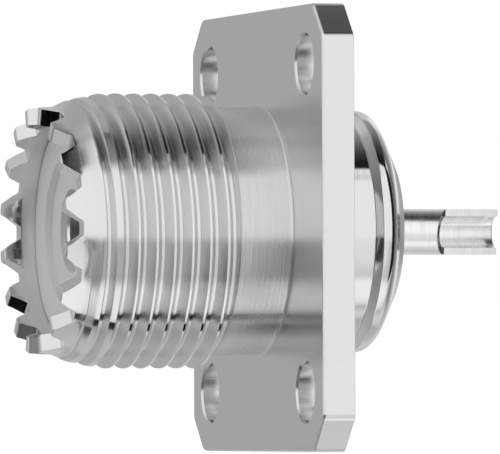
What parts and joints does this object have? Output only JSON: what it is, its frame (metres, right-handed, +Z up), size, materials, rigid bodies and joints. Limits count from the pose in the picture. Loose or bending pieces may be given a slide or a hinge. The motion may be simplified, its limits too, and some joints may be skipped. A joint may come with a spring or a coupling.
{
  "type": "coaxial panel jack",
  "caption": "Square-flange UHF panel jack with a threaded barrel, a serrated rim, a slotted centre socket and a solder cup behind the flange",
  "frame": {"origin": "On the connector's axis, at the rear face of the square flange, which seats on the panel", "axes": "+X along the axis toward the solder cup and away from the mating mouth, +Z up and +Y across the flange"},
  "size_m": [0.0281, 0.0254, 0.0254],
  "materials": {
    "nickel_plate": "bright nickel plate on turned brass",
    "ptfe": "white turned PTFE",
    "silver_plate": "silver plate on turned brass"
  },
  "bodies": {
    "root": {"shell": "nickel_plate", "front_insulator": "ptfe", "rear_insulator": "ptfe", "centre_contact": "silver_plate"}
  },
  "joints": []
}
